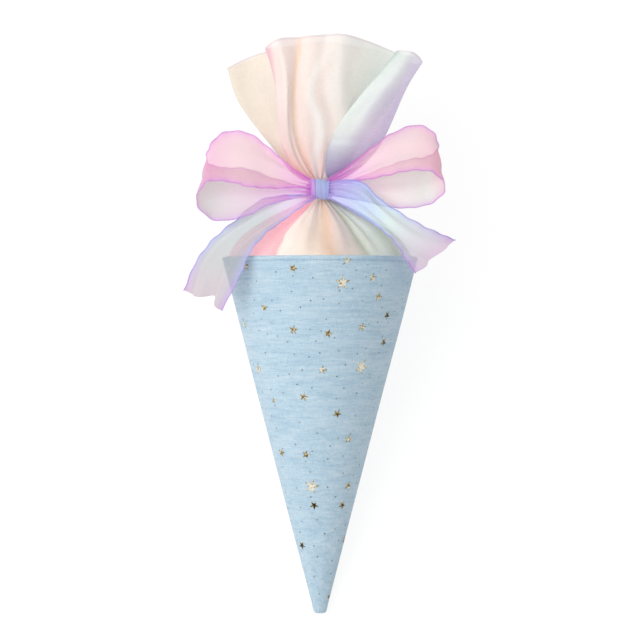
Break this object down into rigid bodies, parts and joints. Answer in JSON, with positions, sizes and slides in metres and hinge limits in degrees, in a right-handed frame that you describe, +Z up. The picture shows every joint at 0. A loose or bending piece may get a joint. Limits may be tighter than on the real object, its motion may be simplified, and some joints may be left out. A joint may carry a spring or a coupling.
{
  "type": "cone gift bag",
  "caption": "Cone-shaped gift bag: starry gauze over a card cone, with a sheer gathered cloth top drawn in by a wide ribbon tied in a bow.",
  "frame": {"origin": "middle of the bounding box, at the height of the surface that the bag lies on", "axes": "+Y along the line that the cone lies on, from its tip to the gathered top; +Z up, towards the side that shows the bow; +X to the right as the bow faces the viewer"},
  "size_m": [0.212, 0.446, 0.1507],
  "materials": {
    "gauze": "matt crinkled cotton double gauze with gold foil stars",
    "card": "matt uncoated card",
    "sheer_cloth": "soft sheen sheer cloth, dyed in bands of pink, cream, green and lilac",
    "ribbon": "sheer ribbon shading from pink to lilac and blue, with thread-wrapped edges"
  },
  "bodies": {
    "root": {"gauze_cover": "gauze", "card_cone": "card", "gathered_cloth": "sheer_cloth", "ribbon_bow": "ribbon"}
  },
  "joints": []
}
